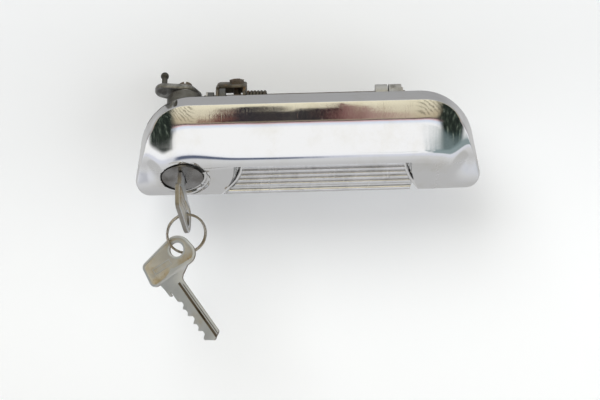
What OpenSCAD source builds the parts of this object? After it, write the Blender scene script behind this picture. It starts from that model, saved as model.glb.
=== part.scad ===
// Pull-flap car door handle with key lock, two keys and a split ring.
// X runs along the handle, -Y is out of the door, +Z is up.
// The origin is the middle of the mounting plane.

/* [Body] */
// Width of the handle body at its mounting flange
body_w = 177.4; // [170:0.2:185]
// Height of the flange above the origin
body_top = 25.8; // [24:0.2:28]
// Depth of the flange below the origin
body_bottom = 25; // [24:0.2:27]
// How far the lower face stands out from the door
face_p = 22.8; // [21:0.1:24]
// Wall thickness of the casting
wall = 2.5; // [2:0.1:3]

/* [Flap] */
// Height of the pivot pin above the origin
pin_z = 22.3; // [21:0.1:23]
// Distance of the pivot pin behind the mounting plane
pin_y = 11; // [10.5:0.1:12]
// Radius of the pivot pin
pin_r = 2.5; // [2:0.1:3]
// Spacing of the ribs on the flap
rib_pitch = 2.5; // [2.2:0.05:2.6]
// Gap between the flap and the recess at each end
flap_gap = 0.5; // [0.4:0.05:0.8]

/* [Lock] */
// Distance of the lock centre left of the origin
lock_x = 63.5; // [62:0.1:65]
// Radius of the round lock face
lock_face_r = 10.4; // [10:0.1:10.6]
// Radius of the turning plug
plug_r = 6; // [5.8:0.1:6.2]
// How far the key slot leans from upright
key_lean = 7; // [0:1:12]

/* [Keys] */
// Thickness of each key
key_t = 2.2; // [1.8:0.1:2.3]
// Radius of the hole in each key
key_hole_r = 3.6; // [3.4:0.1:3.8]
// Radius of the key ring at the middle of its wire
ring_r = 9.85; // [9.5:0.05:10.2]
// Radius of the key ring's wire
ring_wire_r = 0.65; // [0.5:0.05:0.7]

/* [Mounting] */
// Radius of each mounting stud
stud_r = 2.5; // [2:0.1:3]
// Distance between the two studs
stud_spacing = 158; // [156:0.5:159]
// How far the studs reach behind the mounting plane
stud_len = 24; // [18:1:30]

/* [Hidden] */
$fn = 48;

// Finishes
chrome = [0.86, 0.87, 0.88];
cast_grey = [0.62, 0.63, 0.64];
dark_cast = [0.32, 0.32, 0.31];
rusty = [0.33, 0.28, 0.22];
steel = [0.66, 0.65, 0.62];
key_metal = [0.68, 0.66, 0.6];

// ---- Outer surface of the body ----
half_w = body_w / 2;
spine_half = 60;      // the middle line that the rings close on
spine_z = 3;
outline_n = 14;       // points on each rounded stretch of the outline
steps_long = 9;       // points on each straight stretch

function arc_points(c, rx, rz, a0, a1, n) =
    [for (i = [0:n]) let (a = a0 + (a1 - a0) * i / n) [c[0] + rx * cos(a), c[1] + rz * sin(a)]];
function mix(a, b, t) = a + (b - a) * t;
function between(p, q, n) = [for (i = [1:n - 1]) mix(p, q, i / n)];
function clamp(v, lo, hi) = min(max(v, lo), hi);
function smooth(e0, e1, v) = let (t = clamp((v - e0) / (e1 - e0), 0, 1)) t * t * (3 - 2 * t);
function soft_min(a, b, r) = let (h = max(r - abs(a - b), 0) / r) min(a, b) - h * h * r / 4;

// Right half of the outline, from the top middle down to the bottom middle
corner = [58, -2];           // centre of the big top corner
corner_rx = half_w - 3.5 - corner[0];
corner_rz = body_top - corner[1];
side_lean = 11;              // the ends lean in by this angle from upright
foot_r = 7.5;
foot = [half_w - foot_r, foot_r - body_bottom];
side_top = corner + [corner_rx * cos(side_lean), corner_rz * sin(side_lean)];
side_foot = foot + foot_r * [cos(side_lean), sin(side_lean)];
half_outline = concat(
    [[0, body_top]],
    between([0, body_top], [corner[0], body_top], steps_long),
    arc_points(corner, corner_rx, corner_rz, 90, side_lean, outline_n),
    between(side_top, side_foot, 5),
    arc_points(foot, foot_r, foot_r, side_lean, -90, 8),
    between([foot[0], -body_bottom], [0, -body_bottom], 2 * steps_long),
    [[0, -body_bottom]]
);
mirrored = [for (i = [len(half_outline) - 2:-1:1]) [-half_outline[i][0], half_outline[i][1]]];
outline = concat(half_outline, mirrored);

// How far the front stands out at a point, before the side walls: the least of a hood with a sloped
// rim, a slanted lower face and two rounded ends
hood_p = face_p + 0.2;
slant_p = 27.8;              // the slanted face at the height of the origin
slant_drop = 9;              // how much the slanted face falls back beside the foot corners
end_p = 23.4;
end_bend = 0.0105;
end_x0 = 54;                 // the ends start to round off here
crease_r = 3.5;              // rounding between the hood and the slanted face
crease_extra = 4.5;          // more rounding over the lock
crease_x = -61;
crease_w = 17;
function front_p(x, z, to_flat) =
    let (
        rim = to_flat - soft_min(to_flat, 0, 2),
        hood = hood_p - (rim_slope + rim_bend * rim) * rim,
        slant = z + slant_p - slant_drop * smooth(70, 82, abs(x)) * smooth(-22, -6, z),
        ends = end_p - end_bend * pow(max(abs(x) - end_x0, 0), 2),
        crease = crease_r + crease_extra * exp(-pow((x - crease_x) / crease_w, 2))
    )
    soft_min(soft_min(hood, slant, crease), ends, 5);

// The sloped rim runs inside the outline: wider at the left end, where the lock is
rim_slope = 0.15;
rim_bend = 0.0105;
rim_w = 12.2;
rim_w_extra = 3.5;
function rim_width(q) = rim_w + rim_w_extra * smooth(-50, -86, q[0]) * smooth(26, -6, q[1]);

// Steepness of the wall at an outline point: upright on top, sloped at the ends
top_slope = 11;
end_slope = 4.6;
function wall_slope(x, z) = mix(top_slope, end_slope, smooth(52, 80, abs(x)) * smooth(27, 12, z));

function spine_of(q) = [clamp(q[0], -spine_half, spine_half), spine_z];
ring_d = [0, 0.35, 0.8, 1.3, 1.9, 2.7, 3.8, 5.2, 7, 9, 11.5, 14, 17, 20.5, 24];

// The body's outside, drawn in by inset on every side
function ring_point(q, d, inset) =
    let (
        to_spine = spine_of(q) - q,
        reach = norm(to_spine),
        t = min((d + inset) / reach, 0.995),
        p = q + to_spine * t,
        rise = max((t * reach - inset) * wall_slope(q[0], q[1]), 0),
        front = front_p(p[0], p[1], rim_width(q) - t * reach),
        depth = max(soft_min(front - inset, rise + 0.4, 2.2), 0.02)
    )
    [p[0], -depth, p[1]];

module shell_solid(inset, back) {
    n = len(outline);
    rings = len(ring_d);
    back_ring = [for (q = outline) let (p = ring_point(q, 0, inset)) [p[0], back, p[2]]];
    front_rings = [for (k = [0:rings - 1]) for (q = outline) ring_point(q, ring_d[k], inset)];
    spine_mid = [0, inset - front_p(0, spine_z, -spine_z), spine_z];
    points = concat(back_ring, front_rings, [spine_mid, [0, back, 0]]);
    tip = n * (rings + 1);
    sides = [for (k = [0:rings - 1]) for (i = [0:n - 1]) let (j = (i + 1) % n)
        each [[k * n + i, k * n + j, (k + 1) * n + j], [k * n + i, (k + 1) * n + j, (k + 1) * n + i]]];
    cap = [for (i = [0:n - 1]) let (j = (i + 1) % n) [rings * n + i, rings * n + j, tip]];
    base = [for (i = [0:n - 1]) let (j = (i + 1) % n) [j, i, tip + 1]];
    polyhedron(points, concat(sides, cap, base), convexity = 6);
}

// ---- Shared helpers ----
// Draws a flat outline of (y, z) points as a plate between two X positions
module plate_x(x0, x1) {
    translate([x0, 0, 0]) rotate([90, 0, 90]) linear_extrude(x1 - x0) children();
}

module rod_x(x0, x1, y, z, r) {
    translate([x0, y, z]) rotate([0, 90, 0]) cylinder(r = r, h = x1 - x0);
}

lock_pos = [-lock_x, -13.3, -14.5];
module lock_frame() {
    translate(lock_pos) rotate([-45, 0, 0]) children();
}

// The lock's frame turned with the key slot
module lock_turned() {
    lock_frame() rotate([0, 0, -key_lean]) children();
}

module disc(r, s0, s1) {
    translate([0, 0, s0]) cylinder(r = r, h = s1 - s0);
}

module block(size_x, size_y, s0, s1) {
    translate([-size_x / 2, -size_y / 2, s0]) cube([size_x, size_y, s1 - s0]);
}

// ---- Recess for the flap: its ends are turned about the pivot pin ----
// Each point is a distance from the pin and a position along X
recess_left = [[33, -32.2], [40, -34.6], [43, -37], [46, -40.6], [54, -52]];
recess_right = [[33, 48.4], [40, 50.2], [43, 52], [46, 54.3], [54, 60.5]];
recess_r = 36;         // the recess walls stay outside this distance
wide = half_w + 10;

function shifted(profile, dx) = [for (q = profile) [q[0], q[1] + dx]];
function reversed(list) = [for (i = [len(list) - 1:-1:0]) list[i]];

// Everything between two end profiles, turned about the pin
module turned_about_pin(left, right) {
    translate([0, pin_y, pin_z]) rotate([0, 90, 0]) rotate_extrude($fn = 96)
        polygon(concat(left, reversed(right)));
}

// The space below and outside the lip of the hood
lip = [-19.95, -7.75];
module below_lip() {
    translate([-wide, lip[0], lip[1]]) rotate([45, 0, 0])
        translate([0, -30, -60]) cube([2 * wide, 60, 60]);
}

module recess_cutter() {
    intersection() {
        turned_about_pin(recess_left, recess_right);
        below_lip();
    }
}

module recess_walls() {
    intersection() {
        shell_solid(0, 0);
        difference() {
            union() {
                turned_about_pin(shifted(recess_left, -wall), recess_left);
                turned_about_pin(recess_right, shifted(recess_right, wall));
            }
            rod_x(-wide, wide, pin_y, pin_z, recess_r);
        }
        translate([-half_w, -40, -40]) cube([body_w, 40, 36]);
    }
}

// ---- Body ----
face_gap = 0.6;            // dark gap around the lock face
face_floor = 2.4;          // depth of the pocket behind the lock face
tube_r = 12.6;
tube_len = 17;
barrel_r = 9.4;
barrel_end = 50;
step_tilt = [-3, -5.5, 0]; // the two steps beside the lock dip to the right and upwards
step_r = [14.2, 12.6];
step_s = [0.45, 1.3];
boss_r = 4;
boss_depth = 6.5;
boss_back = 0.5;           // the bosses end this far in front of the mounting plane
stud_root_r = 2.1;
stud_root = 5.5;
lug_r = 5.8;
left_lug_r = 4;
left_lug = [-50.5, -47.4];
right_lug = [42.9, 49.4];

module lock_pocket() {
    lock_frame() {
        disc(barrel_r, -14, 60);
        disc(lock_face_r + face_gap, -14, face_floor);
        rotate(step_tilt) disc(step_r[0], -14, step_s[0]);
        rotate(step_tilt) disc(step_r[1], -14, step_s[1]);
        translate([0, 0, screw_s]) rotate([90, 0, 0]) cylinder(r = grub_r, h = 16);
    }
}

module lug(x, r) {
    plate_x(x[0], x[1]) {
        translate([pin_y, pin_z]) circle(r);
        polygon([[-14, 23.4], [-14, 13], [pin_y, pin_z - r], [pin_y, pin_z + r], [3.5, 24.5], [-1, 24.7]]);
    }
}

// Two cylinders along Y at the studs' places, from y0 to y1
module stud_pair(r, y0, y1) {
    for (side = [-1, 1]) translate([side * stud_spacing / 2, y1, 0]) rotate([90, 0, 0])
        cylinder(r = r, h = y1 - y0);
}

module handle_body() {
    color(chrome) difference() {
        union() {
            difference() {
                shell_solid(0, 0);
                shell_solid(wall, 1);
            }
            recess_walls();
            lock_frame() disc(tube_r, 2, tube_len);
            stud_pair(boss_r, -boss_depth, -boss_back);
            lug(left_lug, left_lug_r);
            lug(right_lug, lug_r);
        }
        recess_cutter();
        lock_pocket();
        stud_pair(stud_root_r, -stud_root, 1);
        rod_x(-half_w, half_w, pin_y, pin_z, pin_r);
    }
}

module mounting_studs() {
    color(steel) {
        stud_pair(stud_root_r, -stud_root, 1);
        stud_pair(stud_r, 0, stud_len);
    }
}

// ---- Flap ----
// The ribbed face runs from its lip up to its top edge, in (y, z)
flap_lip = [-6.5, -22.6];
flap_top = [-13.05, 1.3];
flap_t = 2.2;
flap_up = (flap_top - flap_lip) / norm(flap_top - flap_lip);
flap_back = [flap_up[1], -flap_up[0]] * flap_t;
rib_r = 1;
rib_count = 5;
rib_first = 3.5;           // lip to the lowest rib
lip_r = 1.4;
arm_left = [-44.4, -41.4];
arm_right = [36, 42.2];
bar_low = 20;              // the bar starts this far up the face
flap_clip = [52, 0.5];     // the clipped lower right corner: where it starts, and its slope
run_gap = 0.05;            // running clearance of the pin and the plug

module flap_arm(x0, x1) {
    plate_x(x0, x1) {
        translate([pin_y, pin_z]) circle(lug_r);
        polygon([[-12.5, 1], [-9.4, -3.4], [pin_y + 2, pin_z - 5.4], [pin_y - 5.2, pin_z + 2.6]]);
    }
}

// Points of one rib's outline at a distance up the face
function rib_outline(up) =
    let (foot = flap_lip + flap_up * up, out = [-flap_up[1], flap_up[0]] * rib_r)
    [foot - flap_up * rib_r, foot + out - flap_up * rib_r * 0.5, foot + out + flap_up * rib_r * 0.5,
        foot + flap_up * rib_r];

module flap_face() {
    lip_roll = [for (a = [0:30:180]) flap_lip + [0.5 - lip_r * sin(a), -lip_r * cos(a)]];
    face = concat(lip_roll, [for (i = [0:rib_count - 1]) each rib_outline(rib_first + i * rib_pitch)],
        [flap_top, flap_top + flap_back, flap_lip + flap_back]);
    plate_x(-wide, wide) polygon(face);
}

// The flap's two ends follow the recess at the distance of its back from the pin
flap_len = norm(flap_top - flap_lip);
function end_x(profile, up) =
    lookup(norm(flap_lip + flap_up * up + flap_back - [pin_y, pin_z]), profile);

module flap_ends() {
    ups = [for (i = [-1:8]) i * flap_len / 8];
    left = [for (up = ups) [end_x(recess_left, up) + flap_gap, up]];
    right = [for (up = reversed(ups)) [min(end_x(recess_right, up) - flap_gap, flap_clip[0] +
        max(up, 0) * flap_clip[1]), up]];
    translate([0, flap_lip[0], flap_lip[1]]) rotate([atan2(flap_up[1], flap_up[0]), 0, 0])
        translate([0, 0, -wide]) linear_extrude(2 * wide) polygon(concat(left, right));
}

module pull_flap() {
    bar_foot = flap_lip + flap_up * bar_low;
    color(chrome) difference() {
        union() {
            intersection() {
                flap_face();
                flap_ends();
            }
            plate_x(arm_left[0], arm_right[1])
                polygon([bar_foot, flap_top, flap_top + flap_back, bar_foot + flap_back]);
            flap_arm(arm_left[0], arm_left[1]);
            flap_arm(arm_right[0], arm_right[1]);
        }
        rod_x(-half_w, half_w, pin_y, pin_z, pin_r + run_gap);
    }
}

// ---- Pivot ----
clip_t = 0.8;
clip_groove_r = 1.9;
pin_ends = [-52.6, 51.4];

module clip_places() {
    for (x = [left_lug[0] - clip_t, right_lug[1]]) translate([x, pin_y, pin_z]) rotate([0, 90, 0])
        children();
}

module pivot_pin() {
    color(steel) difference() {
        rod_x(pin_ends[0], pin_ends[1], pin_y, pin_z, pin_r);
        clip_places() difference() {
            cylinder(r = pin_r + 1, h = clip_t);
            translate([0, 0, -1]) cylinder(r = clip_groove_r, h = clip_t + 2);
        }
    }
}

module pin_clips() {
    color(steel) clip_places() difference() {
        cylinder(r = 4.2, h = clip_t);
        translate([0, 0, -1]) cylinder(r = clip_groove_r, h = clip_t + 2);
        translate([-1.6, 0, -1]) cube([3.2, 6, clip_t + 2]);
    }
}

// Close-wound spring on the pin, with a leg to the body and a leg hooked over the flap
coil_r = 3.6;
coil_wire_r = 0.84;
coil_x = -29.9;
coil_pitch = 1.72;
coil_start = 137;          // angle where the flap's leg meets the coil
coil_sweep = 2042;
coil_step = 15;

function coil_point(a) = [coil_x + coil_pitch * a / 360,
    pin_y + coil_r * cos(coil_start - a), pin_z + coil_r * sin(coil_start - a)];
coil_end = coil_point(coil_sweep);
leg_dir = [0, sin(coil_start - coil_sweep), -cos(coil_start - coil_sweep)];
spring_path = concat(
    [[coil_x, -14.4, -0.8], [coil_x, -14.5, 1.4], [coil_x, -13.6, 2.9], [coil_x, -11.5, 3.6]],
    [for (a = [0:coil_step:coil_sweep]) coil_point(a)],
    [for (reach = [1, 5, 9, 13]) coil_end + leg_dir * reach]
);

module wire_sweep(path, r, sides) {
    n = len(path);
    function along(i) = let (d = path[min(i + 1, n - 1)] - path[max(i - 1, 0)]) d / norm(d);
    points = [for (i = [0:n - 1]) let (
            side = cross(along(i), [1, 0, 0]),
            u = side / norm(side),
            v = cross(along(i), u)
        )
        for (k = [0:sides - 1]) path[i] + r * (cos(360 * k / sides) * u + sin(360 * k / sides) * v)];
    walls = [for (i = [0:n - 2]) for (k = [0:sides - 1]) let (j = (k + 1) % sides)
        each [[i * sides + k, i * sides + j, (i + 1) * sides + j],
              [i * sides + k, (i + 1) * sides + j, (i + 1) * sides + k]]];
    ends = concat(
        [for (k = [1:sides - 2]) [0, k + 1, k]],
        [for (k = [1:sides - 2]) (n - 1) * sides * [1, 1, 1] + [0, k, k + 1]]
    );
    polyhedron(points, concat(walls, ends), convexity = 10);
}

module torsion_spring() {
    color(rusty) wire_sweep(spring_path, coil_wire_r, 8);
}

// ---- Release lever, folded from sheet ----
lever_t = 1.5;
lever_x = [-46.3, -30.9];
lever_back = 32;
lever_top = 29.2;
lever_ear_r = 5.4;
turned_down = 6;                     // height of the turned-down end
plate_front = pin_y + lug_r;         // the plate between the ears starts clear of the flap's arm
adjust_x = -36;
adjust_y = 24.5;
adjust_r = 2;

module lever_ear(x0) {
    plate_x(x0, x0 + lever_t) {
        translate([pin_y, pin_z]) circle(lever_ear_r);
        polygon([[pin_y, lever_top], [lever_back, lever_top], [lever_back, 24.2], [18, 19.6],
            [pin_y, pin_z - lever_ear_r]]);
    }
}

module release_lever() {
    color(rusty) difference() {
        union() {
            lever_ear(lever_x[0]);
            lever_ear(lever_x[1] - lever_t);
            translate([lever_x[0], plate_front, lever_top - lever_t])
                cube([lever_x[1] - lever_x[0], lever_back - plate_front, lever_t]);
            translate([lever_x[0], lever_back - lever_t, lever_top - turned_down])
                cube([lever_x[1] - lever_x[0], lever_t, turned_down]);
        }
        rod_x(-half_w, half_w, pin_y, pin_z, pin_r + run_gap);
        translate([adjust_x, adjust_y, 0]) cylinder(r = adjust_r, h = 40);
    }
}

adjust_low = 12;
head_r = 3.4;
head_h = 2.4;
nut_r = 3.8;
nut_h = 1.8;
screw_top = 0.4;           // how far the screw's end stands out of its nut

module adjusting_screw() {
    color(rusty) translate([adjust_x, adjust_y, adjust_low]) {
        cylinder(r = adjust_r, h = lever_top + nut_h + screw_top - adjust_low);
        cylinder(r = head_r, h = head_h, $fn = 6);
    }
}

module adjusting_locknut() {
    color(rusty) translate([adjust_x, adjust_y, lever_top]) difference() {
        cylinder(r = nut_r, h = nut_h, $fn = 6);
        translate([0, 0, -1]) cylinder(r = adjust_r, h = nut_h + 2);
    }
}

// ---- Lock ----
grub_r = 2;
screw_s = 16;              // depth of the grub screw from the lock's face
face_front = 0.9;
face_back = 2.2;
slot_y = 9;                // height of the keyway
slot_x = 2.5;              // width of the keyway
keyway_end = 35;
wafer_count = 5;
wafer_first = 10;
wafer_pitch = 4;
wafer_t = 1.2;
wafer_w = 5;
plug_end = 53;
lever_s = [53, 56.5];
tail_w = 7;
tail_r = 4.2;
screw_r = 1.6;

module lock_barrel() {
    color(steel) lock_frame() difference() {
        disc(barrel_r, face_floor, barrel_end);
        disc(plug_r + run_gap, 0, 60);
        translate([0, -8.2, screw_s]) rotate([90, 0, 0]) cylinder(r = grub_r, h = 5);
    }
}

module barrel_grub_screw() {
    color(steel) lock_frame() difference() {
        translate([0, -8.2, screw_s]) rotate([90, 0, 0]) cylinder(r = grub_r, h = 4.2);
        translate([-0.4, -13, screw_s - 3]) cube([0.8, 1.8, 6]);
    }
}

module wafer_places() {
    for (i = [0:wafer_count - 1]) translate([0, 0, wafer_first + i * wafer_pitch]) children();
}

module lock_plug() {
    color(cast_grey) lock_turned() difference() {
        union() {
            disc(plug_r, face_back, plug_end);
            intersection() {
                disc(tail_r, plug_end - 1, lever_s[1] - 0.1);
                block(tail_w, tail_w, plug_end - 1, lever_s[1]);
            }
        }
        block(slot_x, slot_y, 0, keyway_end);
        wafer_places() block(wafer_w + 0.2, 20, 0, wafer_t + 0.2);
        difference() {
            disc(plug_r + 1, barrel_end + 0.1, barrel_end + 1);
            disc(plug_r - 0.8, barrel_end, barrel_end + 2);
        }
        disc(screw_r, 44, 60);
    }
}

module lock_face() {
    color(cast_grey) lock_turned() difference() {
        disc(lock_face_r, face_front, face_back);
        block(slot_x + 0.4, slot_y + 0.6, 0, 4);
    }
}

module tumbler_wafers() {
    color([0.72, 0.6, 0.3]) lock_turned() wafer_places() translate([0, 0, 0.1]) difference() {
        intersection() {
            cylinder(r = plug_r - 0.1, h = wafer_t);
            block(wafer_w, 20, 0, wafer_t);
        }
        block(slot_x + 0.2, slot_y + 0.2, -1, 3);
    }
}

module plug_circlip() {
    color(steel) lock_frame() difference() {
        disc(8.2, barrel_end + 0.15, barrel_end + 0.95);
        disc(plug_r - 0.8, barrel_end - 1, barrel_end + 2);
        translate([-1.8, 0, barrel_end - 1]) cube([3.6, 12, 4]);
    }
}

ball_at = [-10.8, -3.1];     // the ball stud's place on the lever

module lock_lever() {
    color(dark_cast) difference() {
        lock_frame() {
            translate([0, 0, lever_s[0]]) linear_extrude(lever_s[1] - lever_s[0]) hull() {
                circle(6.5);
                translate(ball_at) circle(4.8);
                translate([5, 2.5]) circle(3.6);
            }
        }
        lock_turned() intersection() {
            disc(tail_r + 0.03, 50, 60);
            block(tail_w + 0.06, tail_w + 0.06, 50, 60);
        }
        lock_frame() translate([ball_at[0], ball_at[1], 50]) cylinder(r = ball_neck_r, h = 10);
    }
}

ball_r = 2.15;
ball_neck_r = 1.45;
ball_s = 64.2;

module ball_stud() {
    color(dark_cast) lock_frame() translate([ball_at[0], ball_at[1], 0]) {
        disc(ball_neck_r, lever_s[0], ball_s);
        disc(2.4, lever_s[1], lever_s[1] + 1);
        translate([0, 0, ball_s]) sphere(ball_r);
    }
}

washer_t = 0.8;

module lever_washer() {
    color(steel) lock_frame() difference() {
        disc(4.8, lever_s[1], lever_s[1] + washer_t);
        disc(screw_r, 50, 60);
    }
}

module lever_screw() {
    head = lever_s[1] + washer_t;
    color(steel) lock_frame() difference() {
        union() {
            disc(screw_r, 45, head + 1);
            disc(3.6, head, head + 2.6);
        }
        block(1, 10, head + 1.4, head + 4);
    }
}

// ---- Keys ----
// A key lies flat with its blade along +Y; its stop is at the origin
bow_corners = [[-7.6, -11.6, 3.2], [-6.6, -19.4, 3], [10.6, -17.2, 7.4], [12.4, -13.6, 6]];
key_hole = [10.6, -17.5];
blade_x = [-4.3, 4.25];
blade_len = 31.2;
cut_depths = [1.6, 1, 2.1, 1.3, 1.9];
cut_pitch = 4.6;
cut_first = 6.5;

module key_plate() {
    translate([0, 0, -key_t / 2]) linear_extrude(key_t) children();
}

module key_blank() {
    difference() {
        union() {
            key_plate() hull() for (c = bow_corners) translate([c[0], c[1]]) circle(c[2]);
            key_plate() polygon([[-7, -9], [-6.2, -4.4], [-6.1, 0], [-4.9, 0], [-4.9, -1.6],
                [blade_x[0], -1.6], [blade_x[0], blade_len - 3], [0, blade_len],
                [blade_x[1], blade_len - 2], [blade_x[1], -3.6], [15, -10]]);
        }
        for (i = [0:wafer_count - 1]) let (y = cut_first + i * cut_pitch, d = cut_depths[i])
            translate([0, 0, -key_t]) linear_extrude(2 * key_t)
                polygon([[blade_x[0] - 1, y - 1.8 - d], [blade_x[0] + d, y - 0.7],
                    [blade_x[0] + d, y + 0.7], [blade_x[0] - 1, y + 1.8 + d]]);
        translate([key_hole[0], key_hole[1], -5]) cylinder(r = key_hole_r, h = 10);
        // Milled groove on each face of the blade
        for (side = [-1, 1]) translate([1.1, -2, side * key_t / 2 - 0.5])
            cube([1.3, blade_len + 4, 1]);
        // Sunk panel on each face of the bow
        for (side = [-1, 1]) translate([-6.5, -19, side * key_t / 2 - 0.3])
            cube([11.5, 7.6, 0.6]);
    }
}

key_stop = 0.5;

module door_key() {
    color(key_metal) lock_turned() translate([0, 0, key_stop]) rotate([90, 0, 90]) key_blank();
}

// The ring and the spare key hang from the hole of the door key
hang_tilt = -12;                     // the ring and the spare key lean back by this much
wire_rise = 2.4;                     // the wire sits this far above the hole's centre
ring_side = [-0.53, 0, -0.848];      // from the ring's centre to the spare key's hole
ring_turn = -20;
spare_turn = 15;
spare_lean = 36;                     // the spare key's blade leans from straight down
ring_center = [0, 1.08, wire_rise - ring_r];
spare_hole = ring_center + ring_side * (ring_r - 0.45);
ring_split = 0.45;                   // half the spacing of the ring's two turns

module hung_frame() {
    lock_turned() translate([0, key_hole[0], key_stop + key_hole[1]]) rotate([0, 0, key_lean])
        rotate([45 + hang_tilt, 0, 0]) children();
}

module key_ring() {
    color(steel) hung_frame() translate(ring_center) rotate(ring_turn, ring_side)
        rotate([90, 0, 0]) rotate_extrude($fn = 96) for (side = [-1, 1])
            translate([ring_r, side * ring_split]) circle(ring_wire_r - 0.05, $fn = 24);
}

module spare_key() {
    color(key_metal) hung_frame() translate(spare_hole) rotate(spare_turn, ring_side)
        rotate([0, -spare_lean, 0]) rotate([-90, 0, 0])
            translate([-key_hole[0], -key_hole[1], 0]) key_blank();
}

handle_body();
mounting_studs();
pull_flap();
pivot_pin();
pin_clips();
torsion_spring();
release_lever();
adjusting_screw();
adjusting_locknut();
lock_barrel();
barrel_grub_screw();
lock_plug();
lock_face();
tumbler_wafers();
plug_circlip();
lock_lever();
ball_stud();
lever_washer();
lever_screw();
door_key();
key_ring();
spare_key();
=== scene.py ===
"""Looks of a pull-flap car door handle with its lock, keys and split ring.

The frame is X along the handle, -Y out of the door and +Z up, in metres. The outside of the casting is a
formula, so it is rebuilt here much finer than the CAD node that it stands for.
"""

import math

import bmesh
import bpy
from mathutils import Matrix, Vector
from mathutils.bvhtree import BVHTree


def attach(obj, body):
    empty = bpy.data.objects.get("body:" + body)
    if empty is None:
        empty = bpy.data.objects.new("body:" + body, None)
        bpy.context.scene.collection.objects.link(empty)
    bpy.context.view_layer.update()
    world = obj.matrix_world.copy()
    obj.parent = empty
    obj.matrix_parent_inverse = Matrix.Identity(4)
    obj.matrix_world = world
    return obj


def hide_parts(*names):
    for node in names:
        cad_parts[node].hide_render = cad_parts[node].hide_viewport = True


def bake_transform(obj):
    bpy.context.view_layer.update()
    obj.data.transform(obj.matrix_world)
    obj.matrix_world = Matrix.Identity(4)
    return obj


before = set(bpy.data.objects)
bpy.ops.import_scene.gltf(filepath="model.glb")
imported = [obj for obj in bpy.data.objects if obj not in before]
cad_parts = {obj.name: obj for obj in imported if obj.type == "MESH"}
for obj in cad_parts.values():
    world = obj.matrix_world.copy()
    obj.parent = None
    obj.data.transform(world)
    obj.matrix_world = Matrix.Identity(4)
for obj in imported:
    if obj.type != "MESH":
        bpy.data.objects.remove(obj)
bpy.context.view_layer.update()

MM = 0.001
SAME_POINT = 1e-7                # points closer than this are one point, in metres

# ---------------------------------------------------------------- dimensions, in millimetres
BODY_W, BODY_TOP, BODY_BOTTOM = 177.4, 25.8, 25.0
WALL = 2.5
PIN_Y, PIN_Z, PIN_R = 11.0, 22.3, 2.5
LOCK_POS = Vector((-63.5, -13.3, -14.5))
LOCK_LEAN = 7.0
RECESS_LEFT = [(33, -32.2), (40, -34.6), (43, -37), (46, -40.6), (54, -52)]
RECESS_RIGHT = [(33, 48.4), (40, 50.2), (43, 52), (46, 54.3), (54, 60.5)]
LIP = (-19.95, -7.75)            # the hood's lower edge over the flap, in (y, z)
STUD_SPACING, STUD_ROOT_R, STUD_DEPTH = 158.0, 2.1, 5.5


# ---------------------------------------------------------------- small helpers
def mix(a, b, t):
    return a + (b - a) * t


def clamp(v, low, high):
    return min(max(v, low), high)


def smooth(low, high, v):
    t = clamp((v - low) / (high - low), 0, 1)
    return t * t * (3 - 2 * t)


def soft_min(a, b, r):
    """The smaller of two values, rounded where they meet."""
    h = max(r - abs(a - b), 0) / r
    return min(a, b) - h * h * r / 4


def lookup(table, v):
    """Straight-line interpolation in a table of (key, value) pairs."""
    for (k0, v0), (k1, v1) in zip(table, table[1:]):
        if v <= k1:
            return mix(v0, v1, max((v - k0) / (k1 - k0), 0))
    return table[-1][1]


def moved(x, y, z):
    return Matrix.Translation((x * MM, y * MM, z * MM))


def turned(degrees, axis):
    return Matrix.Rotation(math.radians(degrees), 4, axis)


def lock_matrix(lean=0.0):
    """The lock's frame: Z runs into the lock, -Y is up its face."""
    return (
        Matrix.Translation(LOCK_POS * MM)
        @ turned(-45, "X")
        @ turned(-lean, "Z")
    )


def face_outward(obj, merge=False):
    """Turns every face outward, after joining the points that coincide if asked to."""
    bm = bmesh.new()
    bm.from_mesh(obj.data)
    if merge:
        bmesh.ops.remove_doubles(bm, verts=bm.verts, dist=SAME_POINT)
    bmesh.ops.recalc_face_normals(bm, faces=bm.faces)
    bm.to_mesh(obj.data)
    bm.free()
    return obj


def new_object(name, verts, faces, matrix=None, scale=MM):
    mesh = bpy.data.meshes.new(name)
    mesh.from_pydata([Vector(v) * scale for v in verts], [], faces)
    if matrix is not None:
        mesh.transform(matrix)
    obj = bpy.data.objects.new(name, mesh)
    bpy.context.scene.collection.objects.link(obj)
    return face_outward(obj)


def bake(obj):
    """Replaces an object's mesh with the result of its modifiers."""
    evaluated = obj.evaluated_get(bpy.context.evaluated_depsgraph_get())
    mesh = bpy.data.meshes.new_from_object(evaluated)
    obj.modifiers.clear()
    obj.data = mesh
    return obj


def combine(target, tool, operation):
    """Joins, cuts or intersects two closed solids, and removes the second."""
    mod = target.modifiers.new("combine", "BOOLEAN")
    mod.operation = operation
    mod.solver = "MANIFOLD"
    mod.object = tool
    bake(target)
    bpy.data.objects.remove(tool)
    return target


def join(target, tool):
    return combine(target, tool, "UNION")


def cut(target, tool):
    return combine(target, tool, "DIFFERENCE")


def keep(target, tool):
    return combine(target, tool, "INTERSECT")


def shade(obj, angle=35.0):
    """Smooth shading with sharp edges above an angle."""
    bm = bmesh.new()
    bm.from_mesh(obj.data)
    limit = math.radians(angle)
    for face in bm.faces:
        face.smooth = True
    for edge in bm.edges:
        edge.smooth = len(edge.link_faces) == 2 and edge.calc_face_angle(0) < limit
    bm.to_mesh(obj.data)
    bm.free()
    return obj


def set_materials(obj, *materials):
    obj.data.materials.clear()
    for material in materials:
        obj.data.materials.append(material)


def bevelled(obj, width, segments=3, angle=40.0):
    mod = obj.modifiers.new("bevel", "BEVEL")
    mod.width = width * MM
    mod.segments = segments
    mod.limit_method = "ANGLE"
    mod.angle_limit = math.radians(angle)
    return bake(obj)


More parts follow.
